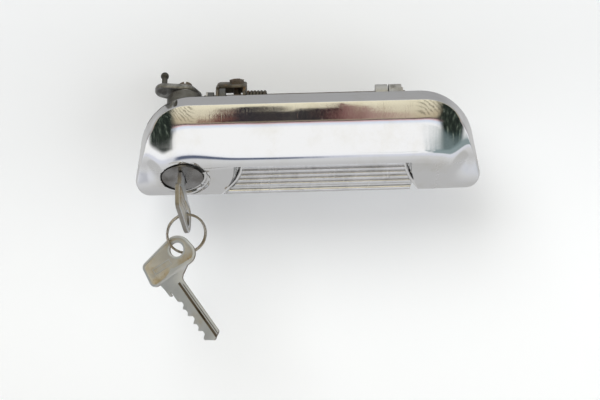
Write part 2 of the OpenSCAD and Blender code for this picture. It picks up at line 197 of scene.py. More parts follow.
def lathe(name, profile, matrix, steps=96):
    """Turns (radius, height) points, from the axis round to the axis again, about Z."""
    verts, faces = [], []
    n = len(profile)
    for i in range(steps):
        a = 2 * math.pi * i / steps
        verts += [(r * math.cos(a), r * math.sin(a), h) for r, h in profile]
    for i in range(steps):
        j = (i + 1) % steps
        faces += [(i * n + k, i * n + k + 1, j * n + k + 1, j * n + k) for k in range(n - 1)]
    return face_outward(new_object(name, verts, faces, matrix), merge=True)


def cylinder(name, r, h0, h1, matrix, steps=96):
    return lathe(name, [(0, h0), (r, h0), (r, h1), (0, h1)], matrix, steps)


def box(name, low, high, matrix=None):
    verts = [(x, y, z) for x in (low[0], high[0]) for y in (low[1], high[1]) for z in (low[2], high[2])]
    faces = [(0, 1, 3, 2), (4, 6, 7, 5), (0, 4, 5, 1), (2, 3, 7, 6), (0, 2, 6, 4), (1, 5, 7, 3)]
    return new_object(name, verts, faces, matrix)


def sweep(name, path, radius, sides=16, matrix=None, side_axis=(1, 0, 0)):
    """A round wire along a path of points."""
    points = [Vector(p) for p in path]
    axis = Vector(side_axis)
    verts, faces = [], []
    last = len(points) - 1
    for i, p in enumerate(points):
        along = (points[min(i + 1, last)] - points[max(i - 1, 0)]).normalized()
        u = along.cross(axis).normalized()
        v = along.cross(u)
        for k in range(sides):
            a = 2 * math.pi * k / sides
            verts.append(p + radius * (math.cos(a) * u + math.sin(a) * v))
    for i in range(last):
        for k in range(sides):
            m = (k + 1) % sides
            faces.append((i * sides + k, i * sides + m, (i + 1) * sides + m, (i + 1) * sides + k))
    faces.append(tuple(range(sides)))
    faces.append(tuple(last * sides + k for k in range(sides)))
    return new_object(name, verts, faces, matrix)


def ring_outline(x, y, r, steps=48):
    return [(x + r * math.cos(2 * math.pi * k / steps), y + r * math.sin(2 * math.pi * k / steps))
            for k in range(steps)]


def hull_outline(circles):
    """The outline round a set of circles (x, y, radius), as a ring of points."""
    cloud = sorted(point for circle in circles for point in ring_outline(*circle))

    def half(points):
        out = []
        for p in points:
            while len(out) > 1 and (
                (out[-1][0] - out[-2][0]) * (p[1] - out[-2][1])
                <= (out[-1][1] - out[-2][1]) * (p[0] - out[-2][0])
            ):
                out.pop()
            out.append(p)
        return out

    return half(cloud)[:-1] + half(cloud[::-1])[:-1]


def plate(name, outlines, low, high, matrix=None, edge=0.0):
    """A flat plate with holes and rounded edges: the first outline is the outside."""
    curve = bpy.data.curves.new(name, "CURVE")
    curve.dimensions = "2D"
    curve.fill_mode = "BOTH"
    for outline in outlines:
        spline = curve.splines.new("POLY")
        spline.points.add(len(outline) - 1)
        for point, (x, y) in zip(spline.points, outline):
            point.co = (x * MM, y * MM, 0, 1)
        spline.use_cyclic_u = True
    curve.extrude = (high - low) / 2 * MM - edge * MM
    curve.bevel_depth = edge * MM
    curve.bevel_resolution = 2
    curve.offset = -edge * MM
    temp = bpy.data.objects.new(name, curve)
    bpy.context.scene.collection.objects.link(temp)
    mesh = bpy.data.meshes.new_from_object(temp.evaluated_get(bpy.context.evaluated_depsgraph_get()))
    bpy.data.objects.remove(temp)
    mesh.transform(Matrix.Translation((0, 0, (low + high) / 2 * MM)))
    if matrix is not None:
        mesh.transform(matrix)
    obj = bpy.data.objects.new(name, mesh)
    bpy.context.scene.collection.objects.link(obj)
    return face_outward(obj, merge=True)


LONG = 99.0                      # past both ends of everything that it cuts, in millimetres
ALONG_X = Matrix(((0, 0, 1, 0), (1, 0, 0, 0), (0, 1, 0, 0), (0, 0, 0, 1)))   # (y, z) outline, along X
ON_PIN = moved(0, PIN_Y, PIN_Z) @ turned(90, "Y")


def on_stud(side):
    """A stud's frame: Z runs into the door."""
    return moved(side * STUD_SPACING / 2, 0, 0) @ turned(-90, "X")


# ---------------------------------------------------------------- materials
def node(tree, kind, inputs=None, **props):
    made = tree.nodes.new(kind)
    for key, value in props.items():
        setattr(made, key, value)
    for key, value in (inputs or {}).items():
        if isinstance(value, bpy.types.NodeSocket):
            tree.links.new(value, made.inputs[key])
        else:
            made.inputs[key].default_value = value
    return made


def math_node(tree, operation, a, b=0.0, clamped=False):
    made = node(tree, "ShaderNodeMath", {0: a, 1: b}, operation=operation, use_clamp=clamped)
    return made.outputs[0]


def times(tree, *values):
    made = values[0]
    for value in values[1:]:
        made = math_node(tree, "MULTIPLY", made, value)
    return made


def plus(tree, *values):
    made = values[0]
    for value in values[1:]:
        made = math_node(tree, "ADD", made, value)
    return made


def rise(tree, value, low, high):
    """0 on low's side, 1 on high's side, and soft between."""
    return node(tree, "ShaderNodeMapRange", {"Value": value, "From Min": low, "From Max": high},
                interpolation_type="SMOOTHSTEP").outputs["Result"]


def blend_colours(tree, fac, a, b):
    made = node(tree, "ShaderNodeMix", data_type="RGBA")
    for index, value in ((0, fac), (6, a), (7, b)):
        if isinstance(value, bpy.types.NodeSocket):
            tree.links.new(value, made.inputs[index])
        else:
            made.inputs[index].default_value = value if index == 0 else (*value, 1)
    return made.outputs[2]


def noise(tree, where, scale, detail=4.0, rough=0.55, stretch=None, turn=(0, 0, 0), shift=0.0):
    """A noise value. Scale is in waves per metre."""
    place = node(tree, "ShaderNodeMapping", {"Vector": where, "Rotation": turn, "Location": (shift,) * 3,
                                             "Scale": stretch or (1, 1, 1)})
    made = node(tree, "ShaderNodeTexNoise", {"Vector": place.outputs[0], "Scale": scale, "Detail": detail,
                                             "Roughness": rough})
    return made.outputs["Fac"]


def scratches(tree, where, scale, turn, amount, shift):
    """Hairlines: a noise drawn out along one direction, of which only the crests are kept."""
    lines = noise(tree, where, scale, 2.0, 0.5, (1, 0.02, 0.05), turn, shift)
    patches = noise(tree, where, scale * 0.06, 2.0, 0.5, shift=shift + 3)
    thin = rise(tree, lines, 0.66 - 0.05 * amount, 0.72)
    return times(tree, thin, rise(tree, patches, 0.45, 0.65))


def metal(name, base, tint=None, stain=(0.5, 0.7), rough=(0.1, 0.25), grain=900.0, bump=0.05, wave=0.0,
          scratch=0.5, rust=0.0, rust_colour=(0.16, 0.07, 0.03), metallic=1.0, dirt=0.0, edge=0.0,
          satin=0.0):
    """A metal with stained colour, uneven gloss, hairlines, and rust or dirt in patches. Satin is how much
    duller the casting's two lower end blocks are than the rest of it."""
    mat = bpy.data.materials.new(name)
    mat.use_nodes = True
    tree = mat.node_tree
    shader = tree.nodes["Principled BSDF"]
    where = node(tree, "ShaderNodeTexCoord").outputs["Object"]
    broad = noise(tree, where, 70.0, 5.0, 0.6)
    fine = noise(tree, where, grain, 4.0, 0.6, shift=1.7)
    spots = rise(tree, broad, *stain)
    colour = blend_colours(tree, spots, base, tint or tuple(c * 0.85 for c in base))
    lines = math_node(
        tree, "MAXIMUM",
        scratches(tree, where, 1500.0, (0.2, 0.5, 0.9), scratch, 0.0),
        scratches(tree, where, 1200.0, (0.7, -0.6, -0.4), scratch, 5.0),
    )
    uneven = plus(tree, times(tree, fine, 0.5), times(tree, broad, 0.5))
    gloss = node(tree, "ShaderNodeMapRange", {"Value": uneven, "From Min": 0.35, "From Max": 0.65,
                                              "To Min": rough[0], "To Max": rough[1]}).outputs["Result"]
    gloss = plus(tree, gloss, times(tree, lines, 0.12 * scratch))
    if satin:
        across, _, up = node(tree, "ShaderNodeSeparateXYZ", {0: where}).outputs
        outward = math_node(tree, "ABSOLUTE", across)
        blocks = times(tree, rise(tree, outward, 0.056, 0.068), rise(tree, up, -0.003, -0.011))
        gloss = plus(tree, gloss, times(tree, blocks, satin))
    if dirt:
        blotches = noise(tree, where, 160.0, 6.0, 0.65, shift=8.0)
        grime = rise(tree, blotches, 0.62 - 0.2 * dirt, 0.72)
        grime = times(tree, grime, dirt)
        colour = blend_colours(tree, grime, colour, (0.06, 0.05, 0.04))
        gloss = plus(tree, gloss, times(tree, grime, 0.3))
    if rust:
        specks = noise(tree, where, 420.0, 8.0, 0.7, shift=12.0)
        area = plus(tree, times(tree, specks, 0.6), times(tree, broad, 0.4))
        area = rise(tree, area, 0.62 - 0.2 * rust, 0.7 - 0.18 * rust)
        colour = blend_colours(tree, area, colour, rust_colour)
        gloss = math_node(tree, "ADD", gloss, times(tree, area, 0.45), True)
        bare = math_node(tree, "SUBTRACT", metallic, times(tree, area, 0.75 * metallic), True)
        tree.links.new(bare, shader.inputs["Metallic"])
    else:
        shader.inputs["Metallic"].default_value = metallic
    height = math_node(tree, "SUBTRACT", fine, times(tree, lines, 0.5))
    relief = node(tree, "ShaderNodeBump", {"Height": height, "Strength": bump, "Distance": 0.0002})
    if wave:
        slow = noise(tree, where, 45.0, 1.0, 0.4, shift=20.0)
        swell = node(tree, "ShaderNodeBump", {"Height": slow, "Strength": 1.0, "Distance": wave})
        tree.links.new(swell.outputs[0], relief.inputs["Normal"])
        relief_start = swell
    else:
        relief_start = relief
    if edge:
        soft = node(tree, "ShaderNodeBevel", {"Radius": edge * MM}, samples=4)
        tree.links.new(soft.outputs[0], relief_start.inputs["Normal"])
    tree.links.new(relief.outputs[0], shader.inputs["Normal"])
    tree.links.new(colour, shader.inputs["Base Color"])
    tree.links.new(gloss, shader.inputs["Roughness"])
    return mat


CHROME = metal("chrome", (0.88, 0.88, 0.88), (0.84, 0.83, 0.8), stain=(0.45, 0.75), rough=(0.035, 0.085),
               grain=700, bump=0.02, wave=0.00012, scratch=0.6, edge=0.35, satin=0.24)
FLAP_METAL = metal("worn_chrome", (0.78, 0.78, 0.78), (0.66, 0.66, 0.65), stain=(0.42, 0.7),
                   rough=(0.12, 0.26), grain=1100, bump=0.08, wave=0.00004, scratch=0.9, dirt=0.15,
                   edge=0.2)
CASTING = metal("raw_casting", (0.6, 0.6, 0.59), (0.48, 0.47, 0.45), stain=(0.4, 0.65),
                rough=(0.45, 0.65), grain=1400, bump=0.35, scratch=0.3, dirt=0.5)
STEEL = metal("plated_steel", (0.55, 0.53, 0.49), (0.42, 0.38, 0.32), stain=(0.42, 0.62),
              rough=(0.28, 0.5), grain=1200, bump=0.15, scratch=0.6, rust=0.25)
RUSTY = metal("rusty_steel", (0.2, 0.17, 0.14), (0.13, 0.1, 0.075), stain=(0.4, 0.6), rough=(0.45, 0.7),
              grain=1600, bump=0.5, scratch=0.3, rust=0.6, metallic=0.85)
# Dark casting: the ball stud's own colour, and painted shade on the lock's gap, the left lug and the flap's
# left arm
DARK_CAST_AND_SHADE = metal("dark_casting", (0.16, 0.16, 0.155), (0.1, 0.095, 0.085), stain=(0.42, 0.62),
                  rough=(0.42, 0.62), grain=1500, bump=0.45, scratch=0.3, rust=0.12)
LOCK_METAL = metal("lock_metal", (0.36, 0.355, 0.35), (0.25, 0.24, 0.23), stain=(0.42, 0.6),
                   rough=(0.22, 0.4), grain=1300, bump=0.15, scratch=0.9, dirt=0.4)
BRASS = metal("wafer_brass", (0.6, 0.44, 0.2), (0.45, 0.3, 0.12), stain=(0.42, 0.6), rough=(0.25, 0.45),
              grain=1200, bump=0.1)
KEY_METAL = metal("key_nickel", (0.62, 0.635, 0.65), (0.55, 0.535, 0.49), stain=(0.5, 0.7),
                  rough=(0.3, 0.44), grain=1500, bump=0.15, scratch=1.0, rust=0.08, metallic=0.75,
                  dirt=0.08, edge=0.12)
KEY_FIELD = metal("key_brassy_field", (0.58, 0.56, 0.51), (0.5, 0.41, 0.27), stain=(0.42, 0.62),
                  rough=(0.35, 0.5), grain=1500, bump=0.25, scratch=0.8, rust=0.34,
                  rust_colour=(0.2, 0.12, 0.07), metallic=0.75, dirt=0.25)
KEY_GROOVE = metal("key_groove", (0.16, 0.13, 0.1), (0.07, 0.05, 0.035), stain=(0.4, 0.6),
                   rough=(0.4, 0.6), grain=1500, bump=0.25, rust=0.3, metallic=0.8)
# Key side faces: a darker base colour as painted shade, with some real rust
KEY_SIDE_SHADE_AND_RUST = metal("key_side_painted_shade_and_rust", (0.42, 0.4, 0.37), (0.28, 0.25, 0.2), stain=(0.4, 0.6), rough=(0.28, 0.45),
                 grain=1500, bump=0.2, rust=0.15, metallic=0.85)
KEY_EDGE = metal("key_cut_edge", (0.42, 0.36, 0.24), (0.22, 0.13, 0.07), stain=(0.36, 0.56),
                 rough=(0.35, 0.55), grain=1500, bump=0.25, rust=0.45, metallic=0.8)
LEVER_CAST = metal("mottled_casting", (0.38, 0.38, 0.37), (0.12, 0.118, 0.11), stain=(0.4, 0.58),
                   rough=(0.32, 0.55), grain=1100, bump=0.5, scratch=0.4, rust=0.1, dirt=0.5)
SHEET_METAL = metal("rusty_sheet", (0.2, 0.175, 0.14), (0.08, 0.07, 0.055), stain=(0.38, 0.6),
                    rough=(0.4, 0.62), grain=1300, bump=0.5, scratch=0.4, rust=0.35,
                    rust_colour=(0.17, 0.11, 0.06), metallic=0.85, dirt=0.3)
SPRING_METAL = metal("spring_wire", (0.13, 0.12, 0.1), (0.07, 0.055, 0.04), stain=(0.4, 0.6),
                     rough=(0.35, 0.55), grain=1500, bump=0.3, scratch=0.3, rust=0.35, metallic=0.85)
RING_METAL = metal("ring_nickel", (0.5, 0.47, 0.42), (0.36, 0.29, 0.19), stain=(0.4, 0.6),
                   rough=(0.2, 0.4), grain=1500, bump=0.15, scratch=0.6, rust=0.15, dirt=0.2)
PIN_METAL = metal("pin_steel", (0.25, 0.23, 0.2), (0.16, 0.13, 0.1), stain=(0.4, 0.6), rough=(0.35, 0.55),
                  grain=1500, bump=0.25, scratch=0.5, rust=0.4)
BARREL_METAL = metal("barrel_casting", (0.2, 0.2, 0.19), (0.13, 0.125, 0.115), stain=(0.42, 0.62),
                     rough=(0.42, 0.62), grain=1400, bump=0.35, scratch=0.3, dirt=0.4)
NODE_MATERIALS = {
    "mounting_studs": STEEL, "pivot_pin": PIN_METAL, "pin_clips": STEEL, "adjusting_screw": RUSTY,
    "adjusting_locknut": RUSTY, "lock_barrel": BARREL_METAL, "barrel_grub_screw": STEEL,
    "lock_plug": LOCK_METAL, "lock_face": LOCK_METAL, "tumbler_wafers": BRASS, "plug_circlip": STEEL,
    "ball_stud": DARK_CAST_AND_SHADE, "lever_washer": RUSTY, "lever_screw": RUSTY,
}


# ---------------------------------------------------------------- outer surface of the casting
HALF_W = BODY_W / 2
CORNER = (58.0, -2.0)
CORNER_IN = 3.5                  # the upper corners end this far in from the feet
CORNER_R = (HALF_W - CORNER_IN - CORNER[0], BODY_TOP - CORNER[1])
SIDE_LEAN = 11.0
FOOT_R = 7.5
FOOT = (HALF_W - FOOT_R, FOOT_R - BODY_BOTTOM)
RIM_W, RIM_W_EXTRA = 12.2, 3.5   # the sloped rim, and how much wider it gets beside the lock
RIM_SLOPE, RIM_BEND, RIM_R = 0.15, 0.0105, 2.0
HOOD_P = 23.0                    # how far the hood stands out
SLANT_P, SLANT_DROP = 27.8, 9.0  # the lower face leans at 45 degrees, and drops away at the ends
END_P, END_BEND, END_X = 23.4, 0.0105, 54.0        # beyond END_X the front curves back
CREASE_R, CREASE_EXTRA, CREASE_X, CREASE_W = 3.5, 4.5, -61.0, 17.0    # between the upper and lower face
END_R, TOP_R, EDGE_RISE = 5.0, 2.2, 0.4
TOP_SLOPE, END_SLOPE = 11.0, 4.6
SPINE_Z = 3.0                    # the rings close on a line at this height, as wide as the straight top


def half_outline(step):
    """Right half of the flange's outline from the top middle to the bottom middle, in (x, z)."""
    def line(p, q):
        n = max(int(math.dist(p, q) / step), 1)
        return [(mix(p[0], q[0], i / n), mix(p[1], q[1], i / n)) for i in range(n)]

    def arc(c, rx, rz, a0, a1):
        n = int(math.radians(abs(a1 - a0)) * max(rx, rz) / step)
        angles = [math.radians(mix(a0, a1, i / n)) for i in range(n)]
        return [(c[0] + rx * math.cos(a), c[1] + rz * math.sin(a)) for a in angles]

    lean = math.radians(SIDE_LEAN)
    side_top = (CORNER[0] + CORNER_R[0] * math.cos(lean), CORNER[1] + CORNER_R[1] * math.sin(lean))
    side_foot = (FOOT[0] + FOOT_R * math.cos(lean), FOOT[1] + FOOT_R * math.sin(lean))
    return (
        line((0, BODY_TOP), (CORNER[0], BODY_TOP))
        + arc(CORNER, CORNER_R[0], CORNER_R[1], 90, SIDE_LEAN)
        + line(side_top, side_foot)
        + arc(FOOT, FOOT_R, FOOT_R, SIDE_LEAN, -90)
        + line((FOOT[0], -BODY_BOTTOM), (CORNER[0], -BODY_BOTTOM))
        + line((CORNER[0], -BODY_BOTTOM), (0, -BODY_BOTTOM))
        + [(0, -BODY_BOTTOM)]
    )


def rim_width(x, z):
    """Width of the sloped rim inside the outline: wider at the left end, where the lock is."""
    return RIM_W + RIM_W_EXTRA * (1 - smooth(-86, -50, x)) * (1 - smooth(-6, 26, z))


def front_p(x, z, to_flat):
    """How far the front stands out at a point, before the side walls."""
    by_lock = math.exp(-(((x - CREASE_X) / CREASE_W) ** 2))
    rim = to_flat - soft_min(to_flat, 0, RIM_R)
    hood = HOOD_P - (RIM_SLOPE + RIM_BEND * rim) * rim
    slant = z + SLANT_P - SLANT_DROP * smooth(70, 82, abs(x)) * smooth(-22, -6, z)
    ends = END_P - END_BEND * max(abs(x) - END_X, 0) ** 2
    return soft_min(soft_min(hood, slant, CREASE_R + CREASE_EXTRA * by_lock), ends, END_R)


def wall_slope(x, z):
    """How steeply the side wall rises: steep along the top, and gentler at the ends."""
    return mix(TOP_SLOPE, END_SLOPE, smooth(52, 80, abs(x)) * (1 - smooth(12, 27, z)))


def shell(name, inset, back, step, ring_d):
    """The outside of the body, drawn in by inset on every side, as a closed solid."""
    right = half_outline(step)
    outline = right + [(-x, z) for x, z in right[-2:0:-1]]
    n = len(outline)
    points = []
    for k, d in enumerate([0.0] + ring_d):
        for x, z in outline:
            sx = clamp(x, -CORNER[0], CORNER[0])
            reach = math.hypot(sx - x, SPINE_Z - z)
            t = min((d + inset) / reach, 0.99)
            px, pz = mix(x, sx, t), mix(z, SPINE_Z, t)
            wall = max((t * reach - inset) * wall_slope(x, z), 0)
            front = front_p(px, pz, rim_width(x, z) - t * reach)
            depth = max(soft_min(front - inset, wall + EDGE_RISE, TOP_R), 0.02)
            points.append((px, back if k == 0 else -depth, pz))
    faces = [
        (k * n + i, k * n + (i + 1) % n, (k + 1) * n + (i + 1) % n, (k + 1) * n + i)
        for k in range(len(ring_d))
        for i in range(n)
    ]
    # The narrow strip left along the middle is closed by pairs of points above and below it
    last, top = len(right) - 1, len(ring_d) * n
    straight = sum(abs(z - BODY_TOP) < SAME_POINT for x, z in right) - 1
    for sign in (1, -1):
        for i in range(straight):
            faces.append(tuple(top + sign * k % n for k in (i, i + 1, last - i - 1, last - i)))
        faces.append(tuple(top + sign * k % n for k in range(straight, last - straight + 1)))
    faces.append(tuple(range(n)))
    return face_outward(new_object(name, points, faces), merge=True)


def spaced(*stretches):
    """Ring depths: each stretch is (from, to, step)."""
    out = []
    for low, high, step in stretches:
        n = round((high - low) / step)
        out += [mix(low, high, i / n) for i in range(n)]
    return out + [stretches[-1][1]]


FINE = spaced((0, 1, 0.1), (1, 2.7, 0.06), (2.7, 7.6, 0.2), (7.6, 20, 0.4), (20, 36, 0.8))
COARSE = spaced((0, 2.8, 0.2), (2.8, 7.6, 0.6), (7.6, 36, 1.42))


# ---------------------------------------------------------------- recess, lock tube and lugs
WALL_INNER_R = 36.0              # the recess's walls start at this distance from the pin
TUBE_R, TUBE = 12.6, (2, 17)     # the tube behind the lock's face, and where it starts and ends
BORE_R, POCKET_R, POCKET_DEPTH = 9.4, 11.0, 2.4
STEP_R, STEP_DEPTH, STEP_TILT = (14.2, 12.6), (0.45, 1.3), (-3.0, -5.5)    # the crescents beside the lock
GRUB_R, GRUB_AT, GRUB_REACH = 2.0, 16.0, 16.0
BEFORE, BEYOND = -14.0, 60.0     # in front of the lock and past the casting's back
BOSS_R, BOSS = 4.0, (-6.5, -0.5)
LUG_LEFT, LUG_LEFT_R = (-50.5, -47.4), 4.0
LUG_RIGHT, LUG_RIGHT_R = (42.9, 49.4), 5.8


def about_pin(profile, name, steps=360):
    """A (distance, x) outline turned about the pivot pin."""
    verts, faces, n = [], [], len(profile)
    for i in range(steps):
        a = 2 * math.pi * i / steps
        verts += [(x, PIN_Y + r * math.cos(a), PIN_Z + r * math.sin(a)) for r, x in profile]
    for i in range(steps):
        j = (i + 1) % steps
        for k in range(n):
            m = (k + 1) % n
            faces.append((i * n + k, i * n + m, j * n + m, j * n + k))
    return new_object(name, verts, faces)


def shifted(profile, dx):
    return [(r, x + dx) for r, x in profile]


def lug(x0, x1, r):
    """An ear of the casting that holds the pivot pin, from x0 to x1."""
    disc = plate("lug", [ring_outline(PIN_Y, PIN_Z, r, 96)], x0, x1, ALONG_X)
    outline = [(-14, 23.4), (-14, 13), (PIN_Y, PIN_Z - r), (PIN_Y, PIN_Z + r), (3.5, 24.5), (-1, 24.7)]
    return join(disc, plate("arm", [outline], x0, x1, ALONG_X))


def surface_tree(obj):
    return BVHTree.FromPolygons([v.co for v in obj.data.vertices], [p.vertices for p in obj.data.polygons])


def plate_faces(body, outside, recess):
    """Chrome on what shows from the front, and raw casting inside and on the back. The gap round the lock's
    face and the lug beside the spring get the dark casting as painted shade."""
    set_materials(body, CHROME, CASTING, DARK_CAST_AND_SHADE)
    to_lock = lock_matrix().inverted()
    near = 0.03 * MM
    for face in body.data.polygons:
        at = face.center
        in_lock = to_lock @ at
        chrome = at.y < -0.05 * MM and (
            outside.find_nearest(at, near)[0] is not None
            or recess.find_nearest(at, near)[0] is not None
            or (in_lock.z < (POCKET_DEPTH + 0.1) * MM and in_lock.xy.length < (STEP_R[0] + 0.2) * MM)
        )
        # Painted shade: the left lug and the bore round the lock's face take the dark casting
        shaded_lug = at.x < -0.04 and at.y > -0.002 and at.z > 0.012
        shaded_gap = -4 * MM < in_lock.z < TUBE[1] * MM and in_lock.xy.length < (POCKET_R + 0.2) * MM
        face.material_index = 2 if shaded_gap or shaded_lug else 0 if chrome else 1


def make_body():
    body = shell("casting", inset=0, back=0.0, step=0.85, ring_d=FINE)
    outside = surface_tree(body)
    cut(body, shell("hollow", inset=WALL, back=1.0, step=2.0, ring_d=COARSE))

    walls = about_pin(shifted(RECESS_LEFT, -WALL) + RECESS_LEFT[::-1], "wall")
    join(walls, about_pin(RECESS_RIGHT + shifted(RECESS_RIGHT, WALL)[::-1], "wall"))
    cut(walls, cylinder("inner", WALL_INNER_R, -LONG, LONG, ON_PIN, 180))
    keep(walls, box("range", (-HALF_W, -40, -40), (HALF_W, 0, -4)))
    keep(walls, shell("outside", inset=0.15, back=0.0, step=1.7, ring_d=COARSE))
    join(body, walls)

    lock = lock_matrix()
    join(body, cylinder("tube", TUBE_R, *TUBE, lock))
    for side in (-1, 1):
        join(body, cylinder("boss", BOSS_R, *BOSS, on_stud(side), 48))
    join(body, lug(*LUG_LEFT, LUG_LEFT_R))
    join(body, lug(*LUG_RIGHT, LUG_RIGHT_R))

    recess = about_pin(RECESS_LEFT + RECESS_RIGHT[::-1], "recess")
    tilt = moved(0, *LIP) @ turned(45, "X")
    keep(recess, box("below", (-LONG, -30, -60), (LONG, 30, 0), tilt))
    recess_faces = surface_tree(recess)
    cut(body, recess)

    tilted = lock @ turned(STEP_TILT[1], "Y") @ turned(STEP_TILT[0], "X")
    cut(body, cylinder("bore", BORE_R, BEFORE, BEYOND, lock, 160))
    cut(body, cylinder("pocket", POCKET_R, BEFORE, POCKET_DEPTH, lock, 160))
    for r, depth in zip(STEP_R, STEP_DEPTH):
        cut(body, cylinder("step", r, BEFORE, depth, tilted, 160))
    up = lock @ moved(0, 0, GRUB_AT) @ turned(90, "X")
    cut(body, cylinder("grub", GRUB_R, 0, GRUB_REACH, up, 48))
    for side in (-1, 1):
        cut(body, cylinder("hole", STUD_ROOT_R, -STUD_DEPTH, 1, on_stud(side), 48))
    cut(body, cylinder("pin_bore", PIN_R, -LONG, LONG, ON_PIN, 48))
    body.name = "handle_casting"
    plate_faces(body, outside, recess_faces)
    return shade(body, 30)


body = make_body()
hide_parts("handle_body")
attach(body, "housing")


# ---------------------------------------------------------------- flap: ribbed face between two arms
FLAP_LIP, FLAP_TOP, FLAP_T = Vector((-6.5, -22.6)), Vector((-13.05, 1.3)), 2.2
FLAP_UP = (FLAP_TOP - FLAP_LIP).normalized()
FLAP_OUT = Vector((-FLAP_UP.y, FLAP_UP.x))
FLAP_LEN = (FLAP_TOP - FLAP_LIP).length
FLAP_GAP = 0.5
FLAP_RIGHT, FLAP_SPLAY = 52.0, 0.5     # the right end at the lip, and how much wider for each mm up
LIP_R, LIP_SHIFT = 1.4, 0.5      # the rolled lower edge, and how far back its centre is
BRIDGE_FROM = 20.0               # how far up the flap the bar between the arms starts
ARM_R, PIN_PLAY = 5.8, 0.05
ARM_WEB = [(-12.5, 1), (-9.4, -3.4), (PIN_Y + 2, PIN_Z - 5.4), (PIN_Y - 5.2, PIN_Z + 2.6)]
RIB_R, RIB_PITCH, RIB_FIRST, RIB_COUNT = 1.0, 2.5, 3.5, 5
ARM_LEFT, ARM_RIGHT = (-44.4, -41.4), (36.0, 42.2)


def rib_height(up):
    """Rounded ribs with narrow grooves, and a plain band above them."""
    centre = clamp(round((up - RIB_FIRST) / RIB_PITCH), 0, RIB_COUNT - 1) * RIB_PITCH + RIB_FIRST
    off = abs(up - centre) / (RIB_PITCH / 2 - 0.1)
    return RIB_R * math.sqrt(1 - off ** 2.6) if off < 1 else 0.0


def flap_outline():
    """The flap's section in (y, z): the rolled lip, the ribs up its face and the flat back."""
    points = []
    for k in range(13):
        a = math.radians(180 - 15 * k)
        points.append(FLAP_LIP + Vector((LIP_SHIFT, 0)) + LIP_R * Vector((-math.sin(a), math.cos(a))))
    steps = 150
    for i in range(steps + 1):
        up = mix(LIP_R, FLAP_LEN, i / steps)
        points.append(FLAP_LIP + FLAP_UP * up + FLAP_OUT * rib_height(up))
    back = -FLAP_OUT * FLAP_T
    return points + [FLAP_TOP + back, FLAP_LIP + back + FLAP_UP * 1.2]


def flap_end(profile, up):
    """Where the recess's side is, at a height on the flap's back."""
    at = FLAP_LIP + FLAP_UP * up - FLAP_OUT * FLAP_T - Vector((PIN_Y, PIN_Z))
    return lookup(profile, at.length)


def make_flap():
    face = plate("flap", [[tuple(p) for p in flap_outline()]], -LONG, LONG, ALONG_X)
    ups = [i * FLAP_LEN / 40 for i in range(-4, 42)]
    left = [(flap_end(RECESS_LEFT, up) + FLAP_GAP, up) for up in ups]
    right = [(min(flap_end(RECESS_RIGHT, up) - FLAP_GAP, FLAP_RIGHT + FLAP_SPLAY * max(up, 0)), up)
             for up in ups[::-1]]
    stand = moved(0, *FLAP_LIP) @ Matrix.Rotation(math.atan2(FLAP_UP.y, FLAP_UP.x), 4, "X")
    keep(face, plate("ends", [left + right], -LONG, LONG, stand))
    foot = FLAP_LIP + FLAP_UP * BRIDGE_FROM
    back = -FLAP_OUT * FLAP_T
    bar = [foot, FLAP_TOP, FLAP_TOP + back, foot + back]
    join(face, plate("bar", [[tuple(p) for p in bar]], ARM_LEFT[0], ARM_RIGHT[1], ALONG_X))
    for x0, x1 in (ARM_LEFT, ARM_RIGHT):
        arm = plate("arm", [ring_outline(PIN_Y, PIN_Z, ARM_R, 96)], x0, x1, ALONG_X)
        join(arm, plate("web", [ARM_WEB], x0, x1, ALONG_X))
        join(face, arm)
    cut(face, cylinder("pin_bore", PIN_R + PIN_PLAY, -LONG, LONG, ON_PIN, 64))
    face.name = "ribbed_flap"
    set_materials(face, FLAP_METAL, CASTING, DARK_CAST_AND_SHADE)
    # Chrome in front, raw casting behind, and the arm beside the spring in dark casting as painted shade
    for part in face.data.polygons:
        behind = part.center.y > -0.005 or part.center.z > 0.003
        part.material_index = (2 if part.center.x < -0.04 else 1) if behind else 0
    return shade(face, 32)


flap = make_flap()
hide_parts("pull_flap")
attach(flap, "flap")


# ---------------------------------------------------------------- keys and split ring
# The bow's outline is the hull of these circles (x, y, radius). The blade runs from y 0 up.
BOW = [(-7.6, -11.6, 3.2), (-6.6, -19.4, 3), (10.6, -17.2, 7.4), (12.4, -13.6, 6)]
KEY_T, HOLE, HOLE_R = 2.2, (10.6, -17.5), 3.6
BORDER, HOLE_BORDER, FIELD_DEPTH = 1.2, 1.1, 0.22      # round the sunk face of the bow
NECK = [(-9, -7.4), (1.2, -10.6), (2.6, -11.6), (4.0, -10.6), (22, -8.2), (22, 0), (-9, 0)]
BARS = [
    [(-5.6, -17.0), (4.6, -16.2), (4.6, -13.0), (-5.6, -13.8)],
    [(-5.2, -16.6), (-5.2, -14.1), (4.2, -13.3), (4.2, -15.8)],
]
BARS_FROM, BARS_TO = 0.3, 0.04   # the plain frame's depths below the key's face
BLADE_X, BLADE_LEN = (-4.3, 4.25), 31.2
GROOVES = [((1.1, 2.4), -3, 0.55), ((2.95, 3.35), -1, 0.3)]      # across, start along the blade, depth
CUTS, CUT_PITCH, CUT_FIRST = (1.6, 1, 2.1, 1.3, 1.9), 4.6, 6.5
KEY_STOP = 0.5


def grown(circles, extra):
    return [(x, y, r + extra) for x, y, r in circles]


